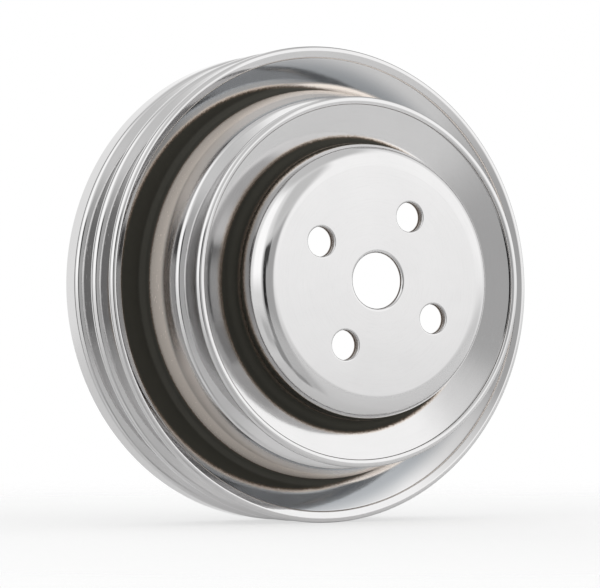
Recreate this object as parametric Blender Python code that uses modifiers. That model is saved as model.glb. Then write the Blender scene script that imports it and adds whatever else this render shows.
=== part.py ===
"""Three-groove V-belt pulley for a water pump: four nested shells pressed from 1.6 mm sheet steel.

The pulley turns about the Y axis and its front looks along -Y.  Every shell is drawn as a
half section (radius, station) and turned about the axis.  Stations are millimetres measured
forward from a plane just ahead of the big rim; the hub face is at FACE_STATION.
"""
import math

import bmesh
import bpy

NAME = "triple_groove_pulley"
MM = 0.001

# Sheet metal
SHEET = 1.6
NEST_GAP = 0.3
FLANK_ANGLE = math.radians(17.0)
CREST_BEND = 1.9
GROOVE_BEND = 1.5
HEM_CORNER = 0.7

# Hub: the raised cap that bolts to the pump
FACE_STATION = 35.5
CAP_RADIUS = 46.0
CAP_BASE_RADIUS = 48.2
CAP_CORNER_BEND = 8.0
CAP_BASE_BEND = 2.5
PILOT_RADIUS = 9.525
INNER_PILOT_RADIUS = 13.0
BOLT_HOLE_RADIUS = 5.1
BOLT_CIRCLE_RADIUS = 25.4
BOLT_COUNT = 4
BOLT_HOLE_SEGMENTS = 28
CUTTER_LENGTH = 12.0
FIRST_BOLT_ANGLE = math.radians(60.0)

# Small single-groove rim
SMALL_RIM_RADIUS = 63.75
SMALL_RIM_STATION = 24.2
SMALL_HEM_LENGTH = 1.0
SMALL_GROOVE_RADIUS = 54.0
SHOULDER_RADIUS = 64.3
SHOULDER_STATION = 11.9
SHOULDER_BEND = 1.9

# Drum between the two rims
DRUM_BASE_RADIUS = 69.2
DRUM_BASE_BEND = 2.0

# Big double-groove rim
RIM_RADIUS = 83.6
RIM_STATION = -0.8
RIM_HEM_LENGTH = 2.4
RIM_PITCH = 14.2
RIM_GROOVE_RADIUS = 74.0
REAR_SKIRT_LENGTH = 9.6
REAR_SKIRT_BEND = 2.2
REAR_CURL_RADIUS = 79.6
DRUM_SEAT_LENGTH = 9.0
REAR_SEAT_LENGTH = 5.0
REAR_SEAT_END_GAP = 1.6

SEGMENTS = 40
ARC_STEP = math.radians(38.0)


def clear_scene():
    for obj in list(bpy.data.objects):
        bpy.data.objects.remove(obj, do_unlink=True)


def new_collection(name):
    collection = bpy.data.collections.new(name)
    bpy.context.scene.collection.children.link(collection)
    return collection


def chrome_material(name, tone, roughness):
    material = bpy.data.materials.new(name)
    material.use_nodes = True
    shader = material.node_tree.nodes["Principled BSDF"]
    shader.inputs["Base Color"].default_value = (*tone, 1.0)
    shader.inputs["Metallic"].default_value = 1.0
    shader.inputs["Roughness"].default_value = roughness
    return material


# ---- half sections -------------------------------------------------------------------------

def rounded(corners):
    """Turn (radius, station, bend) corners into points, drawing each bend as an arc."""
    points = [corners[0][:2]]
    for before, corner, after in zip(corners, corners[1:], corners[2:]):
        points += bend_points(before[:2], corner[:2], after[:2], corner[2])
    points.append(corners[-1][:2])
    return points


def bend_points(before, corner, after, bend):
    """Points of the arc that rounds one corner; the corner itself when the bend is zero."""
    heading_in = math.atan2(corner[1] - before[1], corner[0] - before[0])
    heading_out = math.atan2(after[1] - corner[1], after[0] - corner[0])
    turn = math.remainder(heading_out - heading_in, math.tau)
    if bend == 0.0 or turn == 0.0:
        return [corner]
    setback = bend * math.tan(abs(turn) / 2.0)
    start = (corner[0] - setback * math.cos(heading_in), corner[1] - setback * math.sin(heading_in))
    side = math.copysign(math.pi / 2.0, turn)
    centre = (start[0] + bend * math.cos(heading_in + side),
              start[1] + bend * math.sin(heading_in + side))
    steps = max(2, math.ceil(abs(turn) / ARC_STEP))
    arc = []
    for step in range(steps + 1):
        angle = heading_in - side + turn * step / steps
        arc.append((centre[0] + bend * math.cos(angle), centre[1] + bend * math.sin(angle)))
    return arc


def offset_path(corners, distance):
    """Corners of a parallel path, moved to the right of the direction of travel."""
    moved = []
    for index, (radius, station, bend) in enumerate(corners):
        before = corners[max(index - 1, 0)]
        after = corners[min(index + 1, len(corners) - 1)]
        heading_in = math.atan2(station - before[1], radius - before[0])
        heading_out = math.atan2(after[1] - station, after[0] - radius)
        if index == 0:
            heading_in = heading_out
        if index == len(corners) - 1:
            heading_out = heading_in
        turn = math.remainder(heading_out - heading_in, math.tau)
        middle = heading_in + turn / 2.0 - math.pi / 2.0
        reach = distance / math.cos(turn / 2.0)
        new_bend = bend + math.copysign(distance, turn) if bend else 0.0
        moved.append((radius + reach * math.cos(middle),
                      station + reach * math.sin(middle),
                      max(new_bend, 0.0)))
    return moved


def flank_drop(radial_distance):
    """How far a groove flank travels along the axis over a radial distance."""
    return radial_distance * math.tan(FLANK_ANGLE)


def crest_apex(crest_radius, bend):
    """Radius where two flanks would meet if the crest between them had no bend."""
    return crest_radius + bend * (1.0 / math.sin(FLANK_ANGLE) - 1.0)


def hem_corners(rim_radius, station, hem_length):
    """Corners of a front flange edge folded flat against its own front, ending behind the rim."""
    out = (math.cos(FLANK_ANGLE), math.sin(FLANK_ANGLE))
    front = (-math.sin(FLANK_ANGLE), math.cos(FLANK_ANGLE))
    centre = (rim_radius - SHEET, station)
    placed = []
    for along, ahead, bend in ((-hem_length, 0.0, 0.0),
                               (-hem_length, SHEET, HEM_CORNER),
                               (SHEET, SHEET, 0.98 * SHEET),
                               (SHEET, -SHEET, 0.98 * SHEET)):
        placed.append((centre[0] + along * out[0] + ahead * front[0],
                       centre[1] + along * out[1] + ahead * front[1],
                       bend))
    return placed


def flange_station(rim_radius, rim_station, radius):
    """Station of a front flange's front face at a radius."""
    return rim_station - flank_drop(rim_radius - SHEET - radius)


def hemmed_section(front_path, rim_radius, rim_station, hem_length):
    """Closed half section of a sheet whose outer edge is hemmed; front_path stops at the hem."""
    hem = hem_corners(rim_radius, rim_station, hem_length)
    back_path = offset_path(front_path + [hem[0]], SHEET)[:-1]
    return rounded(front_path + hem + back_path[::-1])


def plain_section(front_path):
    """Closed half section of a sheet with two cut edges."""
    back_path = offset_path(front_path, SHEET)
    return rounded(front_path) + rounded(back_path)[::-1]


def hub_cap_path(inner_radius):
    """Front face of the hub cap from its centre hole to the start of the small rim's flange."""
    base_station = flange_station(SMALL_RIM_RADIUS, SMALL_RIM_STATION, CAP_BASE_RADIUS)
    return [(inner_radius, FACE_STATION, 0.0),
            (CAP_RADIUS, FACE_STATION, CAP_CORNER_BEND),
            (CAP_BASE_RADIUS, base_station, CAP_BASE_BEND)]


def hub_cup_section():
    return hemmed_section(hub_cap_path(PILOT_RADIUS), SMALL_RIM_RADIUS, SMALL_RIM_STATION,
                          SMALL_HEM_LENGTH)


def small_groove_corners():
    """Corners on the drum shell where the small groove's bottom meets the two flanks."""
    flange_end = (SMALL_RIM_RADIUS - SHEET, SMALL_RIM_STATION, 0.0)
    nested = offset_path(hub_cap_path(INNER_PILOT_RADIUS) + [flange_end], SHEET + NEST_GAP)
    front_station = nested[-1][1] - flank_drop(nested[-1][0] - SMALL_GROOVE_RADIUS)
    rear_station = SHOULDER_STATION + flank_drop(SHOULDER_RADIUS - SMALL_GROOVE_RADIUS)
    return nested[:-1], front_station, rear_station


def drum_path():
    """Front face of the drum shell from its centre hole to the start of the big rim's hem."""
    nested, front_station, rear_station = small_groove_corners()
    base_station = flange_station(RIM_RADIUS, RIM_STATION, DRUM_BASE_RADIUS)
    return nested + [
        (SMALL_GROOVE_RADIUS, front_station, CREST_BEND),
        (SMALL_GROOVE_RADIUS, rear_station, GROOVE_BEND),
        (SHOULDER_RADIUS, SHOULDER_STATION, SHOULDER_BEND),
        (DRUM_BASE_RADIUS, base_station, DRUM_BASE_BEND)]


def drum_shell_section():
    return hemmed_section(drum_path(), RIM_RADIUS, RIM_STATION, RIM_HEM_LENGTH)


def mid_rib_section():
    """Ring nested inside the drum that carries the rib between the two big grooves."""
    hem_start = hem_corners(RIM_RADIUS, RIM_STATION, RIM_HEM_LENGTH)[0]
    shoulder, base = drum_path()[-2:]
    nested = offset_path([shoulder, base, hem_start], SHEET + NEST_GAP)
    drum_run = math.hypot(nested[0][0] - nested[1][0], nested[0][1] - nested[1][1])
    share = DRUM_SEAT_LENGTH / drum_run
    skirt_end = (nested[1][0] + share * (nested[0][0] - nested[1][0]),
                 nested[1][1] + share * (nested[0][1] - nested[1][1]), 0.0)
    front_station = nested[2][1] - flank_drop(nested[2][0] - RIM_GROOVE_RADIUS)
    apex = crest_apex(RIM_RADIUS, CREST_BEND)
    bottom_drop = flank_drop(apex - RIM_GROOVE_RADIUS)
    rib_station = RIM_STATION - RIM_PITCH
    path = [skirt_end, nested[1],
            (RIM_GROOVE_RADIUS, front_station, CREST_BEND),
            (RIM_GROOVE_RADIUS, rib_station + bottom_drop, GROOVE_BEND),
            (apex, rib_station, CREST_BEND),
            (RIM_GROOVE_RADIUS, rib_station - bottom_drop, GROOVE_BEND),
            (RIM_GROOVE_RADIUS, rear_flank_station(RIM_GROOVE_RADIUS) + REAR_SEAT_END_GAP, 0.0)]
    return plain_section(path)


def rear_flank_station(radius):
    """Station of the rear rib's front flank at a radius."""
    apex_station = RIM_STATION - 2.0 * RIM_PITCH
    return apex_station + flank_drop(crest_apex(RIM_RADIUS, CREST_BEND) - radius)


def rear_rim_section():
    """Ring nested inside the mid rib ring that closes the rear groove and curls over behind it."""
    seat_radius = RIM_GROOVE_RADIUS - SHEET - NEST_GAP
    rim_corner = rear_flank_station(RIM_RADIUS)
    skirt_station = rim_corner - REAR_SKIRT_LENGTH
    path = [(seat_radius, rear_flank_station(seat_radius) + REAR_SEAT_LENGTH, 0.0),
            (seat_radius, rear_flank_station(seat_radius), GROOVE_BEND),
            (RIM_RADIUS, rim_corner, CREST_BEND),
            (RIM_RADIUS, skirt_station, REAR_SKIRT_BEND),
            (REAR_CURL_RADIUS, skirt_station, 0.0)]
    return plain_section(path)


# ---- solids --------------------------------------------------------------------------------

def turned_shell(name, section, collection, material):
    """Turn a closed half section about the pulley axis into one shell."""
    mesh = bpy.data.meshes.new(name)
    shape = bmesh.new()
    verts = [shape.verts.new((radius * MM, 0.0, station * MM)) for radius, station in section]
    for first, second in zip(verts, verts[1:] + verts[:1]):
        shape.edges.new((first, second))
    shape.to_mesh(mesh)
    shape.free()
    mesh.materials.append(material)
    shell = bpy.data.objects.new(name, mesh)
    collection.objects.link(shell)
    screw = shell.modifiers.new("Turn", "SCREW")
    screw.angle = math.tau
    screw.steps = SEGMENTS
    screw.render_steps = SEGMENTS
    screw.use_merge_vertices = True
    screw.merge_threshold = 0.00001
    shell.rotation_euler = (math.pi / 2.0, 0.0, 0.0)
    return shell


def bolt_hole_cutter(collection):
    """Four round bars standing along the axis where the bolt holes go."""
    mesh = bpy.data.meshes.new("bolt_hole_cutter")
    shape = bmesh.new()
    for index in range(BOLT_COUNT):
        angle = FIRST_BOLT_ANGLE + index * math.tau / BOLT_COUNT
        made = bmesh.ops.create_cone(shape, cap_ends=True, segments=BOLT_HOLE_SEGMENTS,
                                     radius1=BOLT_HOLE_RADIUS * MM, radius2=BOLT_HOLE_RADIUS * MM,
                                     depth=CUTTER_LENGTH * MM)
        bmesh.ops.translate(shape, verts=made["verts"],
                            vec=(BOLT_CIRCLE_RADIUS * MM * math.cos(angle),
                                 BOLT_CIRCLE_RADIUS * MM * math.sin(angle),
                                 (FACE_STATION - SHEET) * MM))
    shape.to_mesh(mesh)
    shape.free()
    cutter = bpy.data.objects.new("bolt_hole_cutter", mesh)
    cutter.rotation_euler = (math.pi / 2.0, 0.0, 0.0)
    cutter.hide_render = True
    cutter.display_type = "WIRE"
    collection.objects.link(cutter)
    return cutter


def cut(shell, cutter):
    boolean = shell.modifiers.new("Holes", "BOOLEAN")
    boolean.operation = "DIFFERENCE"
    boolean.object = cutter
    boolean.solver = "EXACT"


def shade_smooth(shell):
    """Smooth shading with sharp edges where the sheet turns more than 40 degrees."""
    shell.data.shade_smooth()
    shell.data.set_sharp_from_angle(angle=math.radians(40.0))


def main():
    clear_scene()
    parts = new_collection(NAME)
    cutters = new_collection("cutters")
    sections = {"hub_cup": hub_cup_section(),
                "drum_shell": drum_shell_section(),
                "mid_rib_ring": mid_rib_section(),
                "rear_rim_ring": rear_rim_section()}
    middle = (FACE_STATION + min(station for _, station in sections["rear_rim_ring"])) / 2.0
    bolt_holes = bolt_hole_cutter(cutters)
    shells = {}
    for name, section in sections.items():
        material = chrome_material("chrome_" + name, (0.78, 0.78, 0.77), 0.08)
        shells[name] = turned_shell(name, section, parts, material)
    for name in ("hub_cup", "drum_shell"):
        cut(shells[name], bolt_holes)
    for shell in shells.values():
        shell.location.y = middle * MM
        shade_smooth(shell)
    bolt_holes.location.y = middle * MM


main()
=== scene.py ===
"""Studio picture of a chrome-plated three-groove V-belt pulley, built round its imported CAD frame."""
import math

import bmesh
import bpy
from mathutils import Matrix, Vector

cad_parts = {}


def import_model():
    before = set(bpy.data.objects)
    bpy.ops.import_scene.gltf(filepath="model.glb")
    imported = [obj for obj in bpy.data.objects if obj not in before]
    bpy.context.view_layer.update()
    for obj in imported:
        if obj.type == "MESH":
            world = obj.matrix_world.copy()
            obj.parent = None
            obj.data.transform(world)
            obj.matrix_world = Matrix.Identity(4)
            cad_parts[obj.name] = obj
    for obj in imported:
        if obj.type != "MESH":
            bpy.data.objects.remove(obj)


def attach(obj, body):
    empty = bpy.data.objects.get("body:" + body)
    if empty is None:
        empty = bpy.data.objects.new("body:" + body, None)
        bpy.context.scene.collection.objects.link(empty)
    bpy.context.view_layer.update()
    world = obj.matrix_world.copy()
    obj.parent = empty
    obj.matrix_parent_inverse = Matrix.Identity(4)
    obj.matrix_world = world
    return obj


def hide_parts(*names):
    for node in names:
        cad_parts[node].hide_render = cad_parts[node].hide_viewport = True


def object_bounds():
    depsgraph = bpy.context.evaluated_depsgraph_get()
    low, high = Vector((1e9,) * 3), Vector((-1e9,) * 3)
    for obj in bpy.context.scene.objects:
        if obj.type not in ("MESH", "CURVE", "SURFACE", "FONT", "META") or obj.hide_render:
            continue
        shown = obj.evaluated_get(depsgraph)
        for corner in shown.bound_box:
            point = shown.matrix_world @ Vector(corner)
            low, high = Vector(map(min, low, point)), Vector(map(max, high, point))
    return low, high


MM = 0.001

# Sheet metal, in millimetres as in the CAD
SHEET = 1.6
NEST_GAP = 0.3
FLANK_ANGLE = math.radians(17.0)
CREST_BEND = 1.9
GROOVE_BEND = 1.5
HEM_CORNER = 0.7
CUT_EDGE = 0.35

# Hub
FACE_STATION = 35.5
CAP_RADIUS = 46.0
CAP_BASE_RADIUS = 48.2
CAP_CORNER_BEND = 8.0
CAP_BASE_BEND = 2.5
PILOT_RADIUS = 9.525
PILOT_EDGE = 1.1
INNER_PILOT_RADIUS = 13.0
BOLT_HOLE_RADIUS = 5.1
BOLT_CIRCLE_RADIUS = 25.4
BOLT_COUNT = 4
FIRST_BOLT_ANGLE = math.radians(60.0)
PUNCH_ROUND = 0.6

# Small single-groove rim, and the drum behind it
SMALL_RIM_RADIUS = 63.75
SMALL_RIM_STATION = 24.2
SMALL_HEM_LENGTH = 1.0
SMALL_GROOVE_RADIUS = 54.0
SHOULDER_RADIUS = 64.3
SHOULDER_STATION = 11.9
SHOULDER_BEND = 1.9
DRUM_BASE_RADIUS = 69.2
DRUM_BASE_BEND = 2.0

# Big double-groove rim
RIM_RADIUS = 83.6
RIM_STATION = -0.8
RIM_HEM_LENGTH = 2.4
RIM_PITCH = 14.2
RIM_GROOVE_RADIUS = 74.0
REAR_SKIRT_LENGTH = 9.6
REAR_SKIRT_BEND = 2.2
REAR_CURL_RADIUS = 79.6
DRUM_SEAT_LENGTH = 9.0
REAR_SEAT_LENGTH = 5.0
REAR_SEAT_END_GAP = 1.6

SEGMENTS = 240
ARC_STEP = math.radians(7.0)

# Chrome plate
CHROME_TONE = (0.665, 0.66, 0.66)
SMUDGED_TONE = tuple(0.975 * value for value in CHROME_TONE)
TURNED_TONE = (0.45, 0.45, 0.45)
POLISH_RANGE = (0.02, 0.05)
DISH_BRUSHING = 0.07
BUMP_HEIGHT = 0.000004

# Marks on the plate, in millimetres: two patches of painted shade in the recesses, painted shade in the
# holes, a painted dark reflection on the big flange, and a haze on the drum wall whose spread at the top
# and bottom is a painted pale sheen.  The patches' edges were worked out from brightness readings of the
# reference picture at several angles round the axis, so they fit that one view and sit off centre
# towards its side.  The tones were adjusted by comparing renders with it.  What causes the marks on the
# real pulley isn't known.
PAINTED_REFLECTION_TONE = (0.325, 0.34, 0.355)
HOLE_SHADE_TONE = (0.16, 0.125, 0.10)
# Painted shade tones, from the warm edge of each patch through brown to near black
SHADE_EDGE_WARM_TONE = (0.64, 0.585, 0.535)
SHADE_EDGE_BROWN_TONE = (0.20, 0.155, 0.12)
PAINTED_SHADE_TONE = (0.088, 0.085, 0.072)
HAZE_AND_SHEEN_TONE = (0.88, 0.80, 0.73)
DISH_RADIUS = 50.4
DISH_SHIFT = (-1.9, -0.9)
DISH_FADE = 2.0
CAP_FADE = (22.0, 27.0)
MOAT_RADIUS = 70.1
MOAT_SHIFT = (-8.9, -1.3)
MOAT_FADE = 2.2
MOAT_BACK = (-6.0, -5.6)
DRUM_FADE = (-2.6, -0.2)
DRUM_HAZE = (3.6, 6.4)
# Spread of the painted pale sheen at the top and bottom of the drum wall
SHEEN_SPREAD = (12.0, 32.0)
SHEEN_END = (8.5, 11.0)
SHEEN_THIN = 0.12
SHEEN_THICK = 0.65
# Reach of the painted dark reflection on the big flange
PAINTED_REFLECTION_FADE = (76.0, 84.0)

# Studio light that the chrome reflects.  The rows were typed in after a listing of the reference
# picture's brightness by reflected direction, except the rear flags, and adjusted over renders.
# Each row: left, right, bottom and top edge and softness in degrees, then brightness.
# Azimuth 0 is straight in front of the pulley and grows to its right.
STUDIO_LEVEL = 1.05
STUDIO_AREAS = (
    ("floor", -400.0, 400.0, -100.0, -50.0, 6.0, 0.79),
    ("ceiling", -400.0, 400.0, 64.0, 100.0, 8.0, 0.76),
    ("low walls", -400.0, 400.0, -50.0, -12.0, 8.0, 0.80),
    ("left low wall", -125.0, -50.0, -18.0, 0.0, 6.0, 0.98),
    ("left softbox", -94.0, -49.0, -1.0, 57.0, 9.0, 1.46),
    ("right softbox", 12.0, 92.0, 1.0, 60.0, 8.0, 1.33),
    ("right low wall", 12.0, 92.0, -50.0, -3.0, 6.0, 0.85),
    ("shade at lower left", -78.0, -50.0, -40.0, -24.0, 5.0, 0.44),
    ("front wall", -48.0, 8.0, -56.0, 20.0, 6.0, 0.52),
    ("front wall top", -30.0, 12.0, 20.0, 60.0, 8.0, 0.78),
    ("rear left flag", -142.0, -116.0, -60.0, 64.0, 5.0, 0.30),
    ("rear right flag", 112.0, 150.0, -60.0, 64.0, 6.0, 0.42),
    ("camera stand", -41.5, -28.0, -52.0, 18.0, 2.0, 0.03),
    ("camera", -41.0, -20.0, 8.0, 18.0, 2.5, 0.08),
    ("stand's left foot", -50.0, -34.0, -49.0, -34.0, 3.0, 0.05),
    ("stand's right foot", -34.0, -10.0, -60.0, -48.0, 4.0, 0.13))
FLOOR_FADE = (0.14, 0.5)
FLOOR_SHOW = 0.4
PAPER_TONES = ((0.93, 0.93, 0.93), (0.97, 0.97, 0.97))

# Camera: direction from the pulley to the lens, and how far beside the pulley it aims
VIEW_AZIMUTH = math.radians(-29.2)
VIEW_ELEVATION = math.radians(-2.0)
CAMERA_DISTANCE = 0.982
LENS_MM = 168.0
AIM_LEFT = 0.00917
AIM_BELOW = 0.00349


# ---- half sections -------------------------------------------------------------------------

def rounded(corners):
    """Turn (radius, station, bend) corners into points, drawing each bend as an arc."""
    points = [corners[0][:2]]
    for before, corner, after in zip(corners, corners[1:], corners[2:]):
        points += bend_points(before[:2], corner[:2], after[:2], corner[2])
    points.append(corners[-1][:2])
    return points


def bend_points(before, corner, after, bend):
    """Points of the arc that rounds one corner; the corner itself when the bend is zero."""
    heading_in = math.atan2(corner[1] - before[1], corner[0] - before[0])
    heading_out = math.atan2(after[1] - corner[1], after[0] - corner[0])
    turn = math.remainder(heading_out - heading_in, math.tau)
    if bend == 0.0 or turn == 0.0:
        return [corner]
    setback = bend * math.tan(abs(turn) / 2.0)
    start = (corner[0] - setback * math.cos(heading_in), corner[1] - setback * math.sin(heading_in))
    side = math.copysign(math.pi / 2.0, turn)
    centre = (start[0] + bend * math.cos(heading_in + side),
              start[1] + bend * math.sin(heading_in + side))
    steps = max(2, math.ceil(abs(turn) / ARC_STEP))
    arc = []
    for step in range(steps + 1):
        angle = heading_in - side + turn * step / steps
        arc.append((centre[0] + bend * math.cos(angle), centre[1] + bend * math.sin(angle)))
    return arc


def offset_path(corners, distance):
    """Corners of a parallel path, moved to the right of the direction of travel."""
    moved = []
    for index, (radius, station, bend) in enumerate(corners):
        before = corners[max(index - 1, 0)]
        after = corners[min(index + 1, len(corners) - 1)]
        heading_in = math.atan2(station - before[1], radius - before[0])
        heading_out = math.atan2(after[1] - station, after[0] - radius)
        if index == 0:
            heading_in = heading_out
        if index == len(corners) - 1:
            heading_out = heading_in
        turn = math.remainder(heading_out - heading_in, math.tau)
        middle = heading_in + turn / 2.0 - math.pi / 2.0
        reach = distance / math.cos(turn / 2.0)
        new_bend = bend + math.copysign(distance, turn) if bend else 0.0
        moved.append((radius + reach * math.cos(middle),
                      station + reach * math.sin(middle),
                      max(new_bend, 0.0)))
    return moved


def flank_drop(radial_distance):
    """How far a groove flank travels along the axis over a radial distance."""
    return radial_distance * math.tan(FLANK_ANGLE)


def crest_apex(crest_radius, bend):
    """Radius where two flanks would meet if the crest between them had no bend."""
    return crest_radius + bend * (1.0 / math.sin(FLANK_ANGLE) - 1.0)


def hem_corners(rim_radius, station, hem_length):
    """Corners of a front flange edge folded flat against its own front, ending behind the rim."""
    out = (math.cos(FLANK_ANGLE), math.sin(FLANK_ANGLE))
    front = (-math.sin(FLANK_ANGLE), math.cos(FLANK_ANGLE))
    centre = (rim_radius - SHEET, station)
    placed = []
    for along, ahead, bend in ((-hem_length, 0.0, 0.0),
                               (-hem_length, SHEET, HEM_CORNER),
                               (SHEET, SHEET, 0.98 * SHEET),
                               (SHEET, -SHEET, 0.98 * SHEET)):
        placed.append((centre[0] + along * out[0] + ahead * front[0],
                       centre[1] + along * out[1] + ahead * front[1],
                       bend))
    return placed


def flange_station(rim_radius, rim_station, radius):
    """Station of a front flange's front face at a radius."""
    return rim_station - flank_drop(rim_radius - SHEET - radius)


def closed_rounded(corners):
    """Rounded closed outline whose first and last corners are rounded as well."""
    return rounded([corners[-1]] + corners + [corners[0]])[1:-1]


def hemmed_section(front_path, rim_radius, rim_station, hem_length, hole_edge=CUT_EDGE):
    """Closed half section of a sheet whose outer edge is hemmed; front_path stops at the hem."""
    hem = hem_corners(rim_radius, rim_station, hem_length)
    back_path = offset_path(front_path + [hem[0]], SHEET)[:-1]
    return closed_rounded(eased_end(front_path, hole_edge) + hem + eased_end(back_path)[::-1])


def plain_section(front_path):
    """Closed half section of a sheet with two cut edges."""
    back_path = offset_path(front_path, SHEET)
    front_path = eased_end(eased_end(front_path)[::-1])[::-1]
    back_path = eased_end(eased_end(back_path)[::-1])[::-1]
    return closed_rounded(front_path + back_path[::-1])


def eased_end(path, edge=CUT_EDGE):
    """The same path with the small round of a sheared edge on its first corner."""
    return [(path[0][0], path[0][1], edge)] + path[1:]


def hub_cap_path(inner_radius):
    """Front face of the hub cap from its centre hole to the start of the small rim's flange."""
    base_station = flange_station(SMALL_RIM_RADIUS, SMALL_RIM_STATION, CAP_BASE_RADIUS)
    return [(inner_radius, FACE_STATION, 0.0),
            (CAP_RADIUS, FACE_STATION, CAP_CORNER_BEND),
            (CAP_BASE_RADIUS, base_station, CAP_BASE_BEND)]


def hub_cup_section():
    return hemmed_section(hub_cap_path(PILOT_RADIUS), SMALL_RIM_RADIUS, SMALL_RIM_STATION,
                          SMALL_HEM_LENGTH, PILOT_EDGE)


def drum_path():
    """Front face of the drum shell from its centre hole to the start of the big rim's hem."""
    flange_end = (SMALL_RIM_RADIUS - SHEET, SMALL_RIM_STATION, 0.0)
    nested = offset_path(hub_cap_path(INNER_PILOT_RADIUS) + [flange_end], SHEET + NEST_GAP)
    front_station = nested[-1][1] - flank_drop(nested[-1][0] - SMALL_GROOVE_RADIUS)
    rear_station = SHOULDER_STATION + flank_drop(SHOULDER_RADIUS - SMALL_GROOVE_RADIUS)
    base_station = flange_station(RIM_RADIUS, RIM_STATION, DRUM_BASE_RADIUS)
    return nested[:-1] + [
        (SMALL_GROOVE_RADIUS, front_station, CREST_BEND),
        (SMALL_GROOVE_RADIUS, rear_station, GROOVE_BEND),
        (SHOULDER_RADIUS, SHOULDER_STATION, SHOULDER_BEND),
        (DRUM_BASE_RADIUS, base_station, DRUM_BASE_BEND)]


def drum_shell_section():
    return hemmed_section(drum_path(), RIM_RADIUS, RIM_STATION, RIM_HEM_LENGTH)


def rear_flank_station(radius):
    """Station of the rear rib's front flank at a radius."""
    apex_station = RIM_STATION - 2.0 * RIM_PITCH
    return apex_station + flank_drop(crest_apex(RIM_RADIUS, CREST_BEND) - radius)


def mid_rib_section():
    """Ring nested inside the drum that carries the rib between the two big grooves."""
    hem_start = hem_corners(RIM_RADIUS, RIM_STATION, RIM_HEM_LENGTH)[0]
    shoulder, base = drum_path()[-2:]
    nested = offset_path([shoulder, base, hem_start], SHEET + NEST_GAP)
    drum_run = math.hypot(nested[0][0] - nested[1][0], nested[0][1] - nested[1][1])
    share = DRUM_SEAT_LENGTH / drum_run
    skirt_end = (nested[1][0] + share * (nested[0][0] - nested[1][0]),
                 nested[1][1] + share * (nested[0][1] - nested[1][1]), 0.0)
    front_station = nested[2][1] - flank_drop(nested[2][0] - RIM_GROOVE_RADIUS)
    apex = crest_apex(RIM_RADIUS, CREST_BEND)
    bottom_drop = flank_drop(apex - RIM_GROOVE_RADIUS)
    rib_station = RIM_STATION - RIM_PITCH
    return plain_section([
        skirt_end, nested[1],
        (RIM_GROOVE_RADIUS, front_station, CREST_BEND),
        (RIM_GROOVE_RADIUS, rib_station + bottom_drop, GROOVE_BEND),
        (apex, rib_station, CREST_BEND),
        (RIM_GROOVE_RADIUS, rib_station - bottom_drop, GROOVE_BEND),
        (RIM_GROOVE_RADIUS, rear_flank_station(RIM_GROOVE_RADIUS) + REAR_SEAT_END_GAP, 0.0)])


def rear_rim_section():
    """Ring nested inside the mid rib ring that closes the rear groove and curls over behind it."""
    seat_radius = RIM_GROOVE_RADIUS - SHEET - NEST_GAP
    rim_corner = rear_flank_station(RIM_RADIUS)
    skirt_station = rim_corner - REAR_SKIRT_LENGTH
    return plain_section([
        (seat_radius, rear_flank_station(seat_radius) + REAR_SEAT_LENGTH, 0.0),
        (seat_radius, rear_flank_station(seat_radius), GROOVE_BEND),
        (RIM_RADIUS, rim_corner, CREST_BEND),
        (RIM_RADIUS, skirt_station, REAR_SKIRT_BEND),
        (REAR_CURL_RADIUS, skirt_station, 0.0)])


# ---- pieces --------------------------------------------------------------------------------

def turned_piece(name, node, section, face_y):
    """Turn a closed half section about the pulley axis into a finely divided shell."""
    mesh = bpy.data.meshes.new(name)
    shape = bmesh.new()
    rings = []
    for step in range(SEGMENTS):
        angle = math.tau * step / SEGMENTS
        across, up = math.cos(angle) * MM, math.sin(angle) * MM
        rings.append([shape.verts.new((radius * across,
                                       face_y + (FACE_STATION - station) * MM,
                                       radius * up))
                      for radius, station in section])
    for ring, following in zip(rings, rings[1:] + rings[:1]):
        for index in range(len(section)):
            after = (index + 1) % len(section)
            shape.faces.new((ring[index], following[index], following[after], ring[after]))
    bmesh.ops.recalc_face_normals(shape, faces=shape.faces)
    shape.to_mesh(mesh)
    shape.free()
    mesh.shade_smooth()
    piece = bpy.data.objects.new(name, mesh)
    bpy.context.scene.collection.objects.link(piece)
    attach(piece, "root")
    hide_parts(node)
    return piece


def punch_section(front_station, back_station):
    """Half section of a punch whose sides flare out to leave rounded hole edges."""
    def flare(station, direction):
        arc = []
        for step in range(9):
            angle = math.pi / 2.0 * step / 8.0
            arc.append((BOLT_HOLE_RADIUS + PUNCH_ROUND * (1.0 - math.cos(angle)),
                        station - direction * PUNCH_ROUND * (1.0 - math.sin(angle))))
        return arc
    front = flare(front_station, 1.0)
    back = flare(back_station, -1.0)
    beyond = 3.0
    return ([(front[-1][0], front_station + beyond)] + front[::-1] + back
            + [(back[-1][0], back_station - beyond)])


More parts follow.
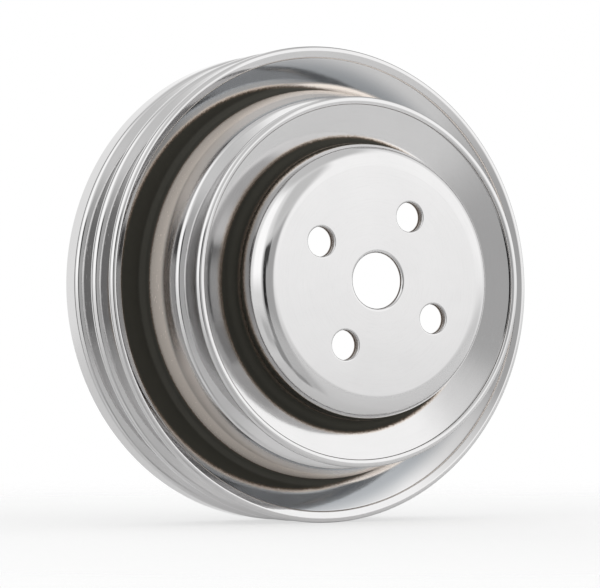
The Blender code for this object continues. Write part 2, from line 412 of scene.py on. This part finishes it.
def punch_bolt_holes(piece, front_station, face_y):
    """Cut the four bolt holes, with rounded edges, through one hub web."""
    section = punch_section(front_station, front_station - SHEET)
    mesh = bpy.data.meshes.new("punch")
    shape = bmesh.new()
    sides = 64
    for index in range(BOLT_COUNT):
        bolt_angle = FIRST_BOLT_ANGLE + index * math.tau / BOLT_COUNT
        centre_x = BOLT_CIRCLE_RADIUS * math.cos(bolt_angle)
        centre_z = BOLT_CIRCLE_RADIUS * math.sin(bolt_angle)
        rings = []
        for side in range(sides):
            angle = math.tau * side / sides
            rings.append([shape.verts.new(((centre_x + radius * math.cos(angle)) * MM,
                                           face_y + (FACE_STATION - station) * MM,
                                           (centre_z + radius * math.sin(angle)) * MM))
                          for radius, station in section])
        for ring, following in zip(rings, rings[1:] + rings[:1]):
            for row in range(len(section) - 1):
                shape.faces.new((ring[row], following[row], following[row + 1], ring[row + 1]))
        shape.faces.new([ring[0] for ring in rings])
        shape.faces.new([ring[-1] for ring in rings[::-1]])
    bmesh.ops.recalc_face_normals(shape, faces=shape.faces)
    shape.to_mesh(mesh)
    shape.free()
    punch = bpy.data.objects.new("punch", mesh)
    bpy.context.scene.collection.objects.link(punch)
    boolean = piece.modifiers.new("Holes", "BOOLEAN")
    boolean.operation = "DIFFERENCE"
    boolean.object = punch
    boolean.solver = "EXACT"
    evaluated = piece.evaluated_get(bpy.context.evaluated_depsgraph_get())
    cut_mesh = bpy.data.meshes.new_from_object(evaluated)
    piece.modifiers.clear()
    piece.data = cut_mesh
    cut_mesh.name = piece.name
    bpy.data.objects.remove(punch, do_unlink=True)


def keep_reflections_true(piece):
    """Sharp edges only where the sheet is cut; flat areas keep their flat normals."""
    piece.data.shade_smooth()
    piece.data.set_sharp_from_angle(angle=math.radians(35.0))
    weighted = piece.modifiers.new("Flat normals", "WEIGHTED_NORMAL")
    weighted.keep_sharp = True
    weighted.weight = 100


# ---- shader helpers ------------------------------------------------------------------------

def link(tree, value, socket):
    """Feed a socket from another node's output, or set it to a constant."""
    if isinstance(value, bpy.types.NodeSocket):
        tree.links.new(value, socket)
    else:
        socket.default_value = value


def calculate(tree, operation, first, second=0.0, third=0.0):
    node = tree.nodes.new("ShaderNodeMath")
    node.operation = operation
    link(tree, first, node.inputs[0])
    link(tree, second, node.inputs[1])
    link(tree, third, node.inputs[2])
    return node.outputs[0]


def ease(tree, value, low, high, start=0.0, finish=1.0):
    """Smooth step from start at low to finish at high."""
    node = tree.nodes.new("ShaderNodeMapRange")
    node.interpolation_type = "SMOOTHSTEP"
    link(tree, value, node.inputs["Value"])
    node.inputs["From Min"].default_value = low
    node.inputs["From Max"].default_value = high
    node.inputs["To Min"].default_value = start
    node.inputs["To Max"].default_value = finish
    return node.outputs["Result"]


def blend_colour(tree, factor, first, second):
    node = tree.nodes.new("ShaderNodeMix")
    node.data_type = "RGBA"
    link(tree, factor, node.inputs["Factor"])
    for colour, socket in ((first, "A"), (second, "B")):
        opaque = colour if isinstance(colour, bpy.types.NodeSocket) else (*colour, 1.0)
        link(tree, opaque, node.inputs[socket])
    return node.outputs["Result"]


def noise(tree, position, scale, detail=3.0, roughness=0.5):
    node = tree.nodes.new("ShaderNodeTexNoise")
    link(tree, position, node.inputs["Vector"])
    node.inputs["Scale"].default_value = scale
    node.inputs["Detail"].default_value = detail
    node.inputs["Roughness"].default_value = roughness
    return node.outputs["Fac"]


def join_vector(tree, x, y, z):
    node = tree.nodes.new("ShaderNodeCombineXYZ")
    link(tree, x, node.inputs["X"])
    link(tree, y, node.inputs["Y"])
    link(tree, z, node.inputs["Z"])
    return node.outputs["Vector"]


def pulley_coordinates(tree, face_y):
    """Object position, and in millimetres the distance right, distance up and station."""
    position = tree.nodes.new("ShaderNodeTexCoord").outputs["Object"]
    split = tree.nodes.new("ShaderNodeSeparateXYZ")
    tree.links.new(position, split.inputs[0])
    across = calculate(tree, "MULTIPLY", split.outputs["X"], 1.0 / MM)
    up = calculate(tree, "MULTIPLY", split.outputs["Z"], 1.0 / MM)
    station = calculate(tree, "MULTIPLY_ADD", split.outputs["Y"], -1.0 / MM,
                        face_y / MM + FACE_STATION)
    return position, across, up, station


def distance_from(tree, across, up, centre=(0.0, 0.0)):
    """Distance from a line parallel to the pulley axis."""
    beside = calculate(tree, "SUBTRACT", across, centre[0])
    above = calculate(tree, "SUBTRACT", up, centre[1])
    square = calculate(tree, "MULTIPLY", above, above)
    sum_of_squares = calculate(tree, "MULTIPLY_ADD", beside, beside, square)
    return calculate(tree, "SQRT", sum_of_squares)


# ---- chrome --------------------------------------------------------------------------------

def dish_painted_shade(tree, across, up, station):
    """How strong the painted shade round the foot of the hub cap is: 0 bright chrome, 1 dark."""
    off_centre = distance_from(tree, across, up, DISH_SHIFT)
    beside = ease(tree, off_centre, DISH_RADIUS - 0.5 * DISH_FADE, DISH_RADIUS + DISH_FADE, 1.0, 0.0)
    below = ease(tree, station, *CAP_FADE, 1.0, 0.0)
    return calculate(tree, "MULTIPLY", beside, below)


def moat_painted_shade(tree, across, up, station):
    """How strong the painted shade in the recess round the foot of the drum is."""
    off_centre = distance_from(tree, across, up, MOAT_SHIFT)
    floor = ease(tree, off_centre, MOAT_RADIUS - 0.5 * MOAT_FADE, MOAT_RADIUS + MOAT_FADE, 1.0, 0.0)
    wall = ease(tree, station, *DRUM_FADE, 1.0, 0.0)
    front = ease(tree, station, *MOAT_BACK)
    return calculate(tree, "MULTIPLY", front, calculate(tree, "MULTIPLY", floor, wall))


def drum_haze_and_sheen(tree, up, radius, station):
    """Haze on the drum wall: a band round its foot, and a painted pale sheen spreading at the top and
    bottom.
    """
    lean = (DRUM_BASE_RADIUS - SHOULDER_RADIUS) / (SHOULDER_STATION - RIM_STATION)
    wall_radius = calculate(tree, "MULTIPLY_ADD", station, -lean, DRUM_BASE_RADIUS)
    from_wall = calculate(tree, "SUBTRACT", radius, wall_radius)
    outside = ease(tree, from_wall, -2.0, -1.4)
    wall = calculate(tree, "MULTIPLY", outside, ease(tree, radius, 70.4, 71.6, 1.0, 0.0))
    spread = ease(tree, calculate(tree, "ABSOLUTE", up), *SHEEN_SPREAD, SHEEN_THIN, SHEEN_THICK)
    spread = calculate(tree, "MULTIPLY", spread, ease(tree, station, *SHEEN_END, 1.0, 0.0))
    foot = calculate(tree, "MAXIMUM", ease(tree, station, *DRUM_HAZE, 1.0, 0.0), spread)
    return calculate(tree, "MULTIPLY", wall, foot)


def flange_painted_reflection(tree, across, up, radius, station):
    """Painted dark bluish reflection on the front of the big flange, thickest next to the dark recess.
    """
    off_centre = distance_from(tree, across, up, MOAT_SHIFT)
    reflection_mask = ease(tree, off_centre, *PAINTED_REFLECTION_FADE, 1.0, 0.0)
    inside_lip = ease(tree, radius, 79.0, 80.0, 1.0, 0.0)
    flange = calculate(tree, "MULTIPLY", inside_lip, ease(tree, station, 0.0, 1.0, 1.0, 0.0))
    facing = tree.nodes.new("ShaderNodeSeparateXYZ")
    tree.links.new(tree.nodes.new("ShaderNodeTexCoord").outputs["Normal"], facing.inputs[0])
    front = ease(tree, facing.outputs["Y"], -0.9, -0.7, 1.0, 0.0)
    return calculate(tree, "MULTIPLY", calculate(tree, "MULTIPLY", flange, front), reflection_mask)


def hole_wall_shade(tree, across, up, radius, station):
    """Painted shade on the walls of the centre hole and the bolt holes."""
    nearest = calculate(tree, "SUBTRACT", radius, PILOT_RADIUS)
    for index in range(BOLT_COUNT):
        angle = FIRST_BOLT_ANGLE + index * math.tau / BOLT_COUNT
        centre = (BOLT_CIRCLE_RADIUS * math.cos(angle), BOLT_CIRCLE_RADIUS * math.sin(angle))
        rim = calculate(tree, "SUBTRACT", distance_from(tree, across, up, centre), BOLT_HOLE_RADIUS)
        nearest = calculate(tree, "MINIMUM", nearest, rim)
    depth = ease(tree, station, FACE_STATION - 0.9, FACE_STATION - 0.4, 1.0, 0.0)
    return calculate(tree, "MULTIPLY", depth, ease(tree, nearest, 0.05, 0.5, 1.0, 0.0))


def with_painted_shade(tree, tone, roughness, dark, grain):
    """Tone and roughness where shade is painted on: through brown to near black, with a grainy edge."""
    speckle = calculate(tree, "MULTIPLY", calculate(tree, "SUBTRACT", grain, 0.5), 0.55)
    unshaded = calculate(tree, "SUBTRACT", 1.0, dark)
    edge = calculate(tree, "MULTIPLY", calculate(tree, "MULTIPLY", dark, unshaded), 4.0)
    dark = calculate(tree, "MULTIPLY_ADD", speckle, edge, dark)
    tone = blend_colour(tree, ease(tree, dark, 0.0, 0.35), tone, SHADE_EDGE_WARM_TONE)
    tone = blend_colour(tree, ease(tree, dark, 0.12, 0.62), tone, SHADE_EDGE_BROWN_TONE)
    tone = blend_colour(tree, ease(tree, dark, 0.45, 0.9), tone, PAINTED_SHADE_TONE)
    roughness = calculate(tree, "MULTIPLY_ADD", ease(tree, dark, 0.1, 0.8), 0.75, roughness)
    return tone, roughness


def fine_scratches(tree, across, up, station):
    """Thin upright scratches."""
    stretched = join_vector(tree, calculate(tree, "MULTIPLY", across, 2.4), station,
                            calculate(tree, "MULTIPLY", up, 0.12))
    return ease(tree, noise(tree, stretched, 2.0, 2.0, 0.5), 0.67, 0.74)


def relief_normal(tree, lines, wave, scratches):
    """Bump from turning marks, faint waves and scratches."""
    relief = calculate(tree, "MULTIPLY_ADD", lines, 0.35, calculate(tree, "MULTIPLY", wave, 8.0))
    relief = calculate(tree, "MULTIPLY_ADD", scratches, -0.5, relief)
    bump = tree.nodes.new("ShaderNodeBump")
    bump.inputs["Strength"].default_value = 1.0
    bump.inputs["Distance"].default_value = BUMP_HEIGHT
    link(tree, relief, bump.inputs["Height"])
    return bump.outputs["Normal"]


def chrome(name, face_y, paint_shade=None, haze_and_sheen=None):
    """Polished plate with turning marks, smudges, scratches and faint waves, and the painted shade,
    painted dark reflection and haze with painted sheen passed in.
    """
    material = bpy.data.materials.new(name)
    material.use_nodes = True
    tree = material.node_tree
    shader = tree.nodes["Principled BSDF"]
    shader.inputs["Metallic"].default_value = 1.0
    position, across, up, station = pulley_coordinates(tree, face_y)
    radius = distance_from(tree, across, up)
    angle = calculate(tree, "ARCTAN2", up, across)
    around = join_vector(tree, radius, station, calculate(tree, "MULTIPLY", angle, 1.2))
    lines = noise(tree, around, 2.6, 4.0, 0.65)
    smudge = noise(tree, position, 38.0, 4.0, 0.6)
    wave = noise(tree, position, 95.0, 1.0, 0.4)
    scratches = fine_scratches(tree, across, up, station)
    tone = blend_colour(tree, ease(tree, smudge, 0.35, 0.7), CHROME_TONE, SMUDGED_TONE)
    turning = calculate(tree, "MULTIPLY", ease(tree, lines, 0.45, 0.8), 0.10)
    tone = blend_colour(tree, turning, tone, TURNED_TONE)
    roughness = ease(tree, smudge, 0.3, 0.75, *POLISH_RANGE)
    roughness = calculate(tree, "MULTIPLY_ADD", scratches, 0.05, roughness)
    inner_edge = ease(tree, radius, 49.0, 52.0)
    dish = calculate(tree, "MULTIPLY", inner_edge, ease(tree, radius, 60.5, 61.5, 1.0, 0.0))
    roughness = calculate(tree, "MULTIPLY_ADD", dish, DISH_BRUSHING, roughness)
    if paint_shade:
        # Painted shade on the walls of the holes
        hole_shade = hole_wall_shade(tree, across, up, radius, station)
        tone = blend_colour(tree, hole_shade, tone, HOLE_SHADE_TONE)
        roughness = calculate(tree, "MULTIPLY_ADD", hole_shade, 0.3, roughness)
    if haze_and_sheen:
        # Painted dark reflection on the front of the big flange
        reflection_mask = flange_painted_reflection(tree, across, up, radius, station)
        tone = blend_colour(tree, reflection_mask, tone, PAINTED_REFLECTION_TONE)
        roughness = calculate(tree, "MULTIPLY_ADD", reflection_mask, 0.05, roughness)
        # Haze on the drum wall, with a painted pale sheen at the top and bottom
        haze_and_sheen_amount = haze_and_sheen(tree, up, radius, station)
        tone = blend_colour(tree, haze_and_sheen_amount, tone, HAZE_AND_SHEEN_TONE)
        roughness = calculate(tree, "MULTIPLY_ADD", haze_and_sheen_amount, 0.22, roughness)
        link(tree, calculate(tree, "MULTIPLY_ADD", haze_and_sheen_amount, -0.6, 1.0), shader.inputs["Metallic"])
    # Painted shade in the recesses at the foot of the hub cap and of the drum
    if paint_shade:
        dark = paint_shade(tree, across, up, station)
        grain = noise(tree, position, 1500.0, 2.0, 0.6)
        tone, roughness = with_painted_shade(tree, tone, roughness, dark, grain)
    link(tree, tone, shader.inputs["Base Color"])
    link(tree, roughness, shader.inputs["Roughness"])
    tree.links.new(relief_normal(tree, lines, wave, scratches), shader.inputs["Normal"])
    return material


# ---- studio --------------------------------------------------------------------------------

def add_camera(face_y):
    """Camera at the left of the pulley's front, slightly below its axis."""
    back = Vector((math.sin(VIEW_AZIMUTH) * math.cos(VIEW_ELEVATION),
                   -math.cos(VIEW_AZIMUTH) * math.cos(VIEW_ELEVATION),
                   math.sin(VIEW_ELEVATION)))
    turn = (-back).to_track_quat("-Z", "Y")
    right = turn @ Vector((1.0, 0.0, 0.0))
    up = turn @ Vector((0.0, 1.0, 0.0))
    rim_centre = Vector((0.0, face_y + FACE_STATION * MM, 0.0))
    aim = rim_centre - AIM_LEFT * right - AIM_BELOW * up
    data = bpy.data.cameras.new("Camera")
    data.lens = LENS_MM
    data.sensor_width = 36.0
    data.clip_start = 0.05
    data.clip_end = 50.0
    camera = bpy.data.objects.new("Camera", data)
    camera.rotation_mode = "QUATERNION"
    camera.rotation_quaternion = turn
    camera.location = aim + CAMERA_DISTANCE * back
    bpy.context.scene.collection.objects.link(camera)
    bpy.context.scene.camera = camera


def soft_range(tree, value, low, high, softness):
    rise = ease(tree, value, low - softness, low + softness)
    fall = ease(tree, value, high - softness, high + softness, 1.0, 0.0)
    return calculate(tree, "MULTIPLY", rise, fall)


def add_world():
    """White to the camera; the chrome sees softboxes, dimmer walls, dark flags and a dark stand."""
    world = bpy.data.worlds.new("Studio")
    bpy.context.scene.world = world
    world.use_nodes = True
    tree = world.node_tree
    direction = tree.nodes.new("ShaderNodeTexCoord").outputs["Generated"]
    split = tree.nodes.new("ShaderNodeSeparateXYZ")
    tree.links.new(direction, split.inputs[0])
    ahead = calculate(tree, "MULTIPLY", split.outputs["Y"], -1.0)
    azimuth = calculate(tree, "DEGREES", calculate(tree, "ARCTAN2", split.outputs["X"], ahead))
    elevation = calculate(tree, "DEGREES", calculate(tree, "ARCSINE", split.outputs["Z"]))
    level = STUDIO_LEVEL
    for _, left, right, bottom, top, softness, brightness in STUDIO_AREAS:
        mask = calculate(tree, "MULTIPLY",
                         soft_range(tree, azimuth, left, right, softness),
                         soft_range(tree, elevation, bottom, top, softness))
        step = calculate(tree, "SUBTRACT", brightness, level)
        level = calculate(tree, "MULTIPLY_ADD", step, mask, level)
    to_camera = tree.nodes.new("ShaderNodeLightPath").outputs["Is Camera Ray"]
    shown = calculate(tree, "MULTIPLY_ADD", calculate(tree, "SUBTRACT", 1.0, level), to_camera, level)
    link(tree, shown, tree.nodes["Background"].inputs["Strength"])
    tree.nodes["Background"].inputs["Color"].default_value = (1.0, 1.0, 1.0, 1.0)


def add_floor(floor_z):
    """Pale floor under the rim that fades out into the white room."""
    mesh = bpy.data.meshes.new("floor")
    shape = bmesh.new()
    bmesh.ops.create_circle(shape, cap_ends=True, segments=96, radius=1.5 * FLOOR_FADE[1])
    shape.to_mesh(mesh)
    shape.free()
    floor = bpy.data.objects.new("floor", mesh)
    floor.location.z = floor_z
    bpy.context.scene.collection.objects.link(floor)
    material = bpy.data.materials.new("floor_paper")
    material.use_nodes = True
    tree = material.node_tree
    shader = tree.nodes["Principled BSDF"]
    shader.inputs["Roughness"].default_value = 0.9
    position = tree.nodes.new("ShaderNodeTexCoord").outputs["Object"]
    paper = blend_colour(tree, noise(tree, position, 300.0), *PAPER_TONES)
    link(tree, paper, shader.inputs["Base Color"])
    length = tree.nodes.new("ShaderNodeVectorMath")
    length.operation = "LENGTH"
    tree.links.new(position, length.inputs[0])
    link(tree, ease(tree, length.outputs["Value"], *FLOOR_FADE, FLOOR_SHOW, 0.0), shader.inputs["Alpha"])
    mesh.materials.append(material)


def main():
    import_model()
    cad_low, cad_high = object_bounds()
    face_y = cad_low.y
    bpy.context.scene.view_settings.view_transform = "Standard"
    sections = {"hub_cup": hub_cup_section(),
                "drum_shell": drum_shell_section(),
                "mid_rib_ring": mid_rib_section(),
                "rear_rim_ring": rear_rim_section()}
    pieces = {}
    # Painted shade, painted reflection, and haze with painted sheen, for each piece that carries them
    painted_marks = {"hub_cup": (dish_painted_shade, None), "drum_shell": (moat_painted_shade, drum_haze_and_sheen)}
    for node, section in sections.items():
        piece = turned_piece("chrome_" + node, node, section, face_y)
        piece.data.materials.append(chrome(node + "_chrome", face_y, *painted_marks.get(node, ())))
        pieces[node] = piece
    punch_bolt_holes(pieces["hub_cup"], FACE_STATION, face_y)
    punch_bolt_holes(pieces["drum_shell"], FACE_STATION - SHEET - NEST_GAP, face_y)
    for piece in pieces.values():
        keep_reflections_true(piece)
    add_camera(face_y)
    add_world()
    add_floor(cad_low.z)


main()
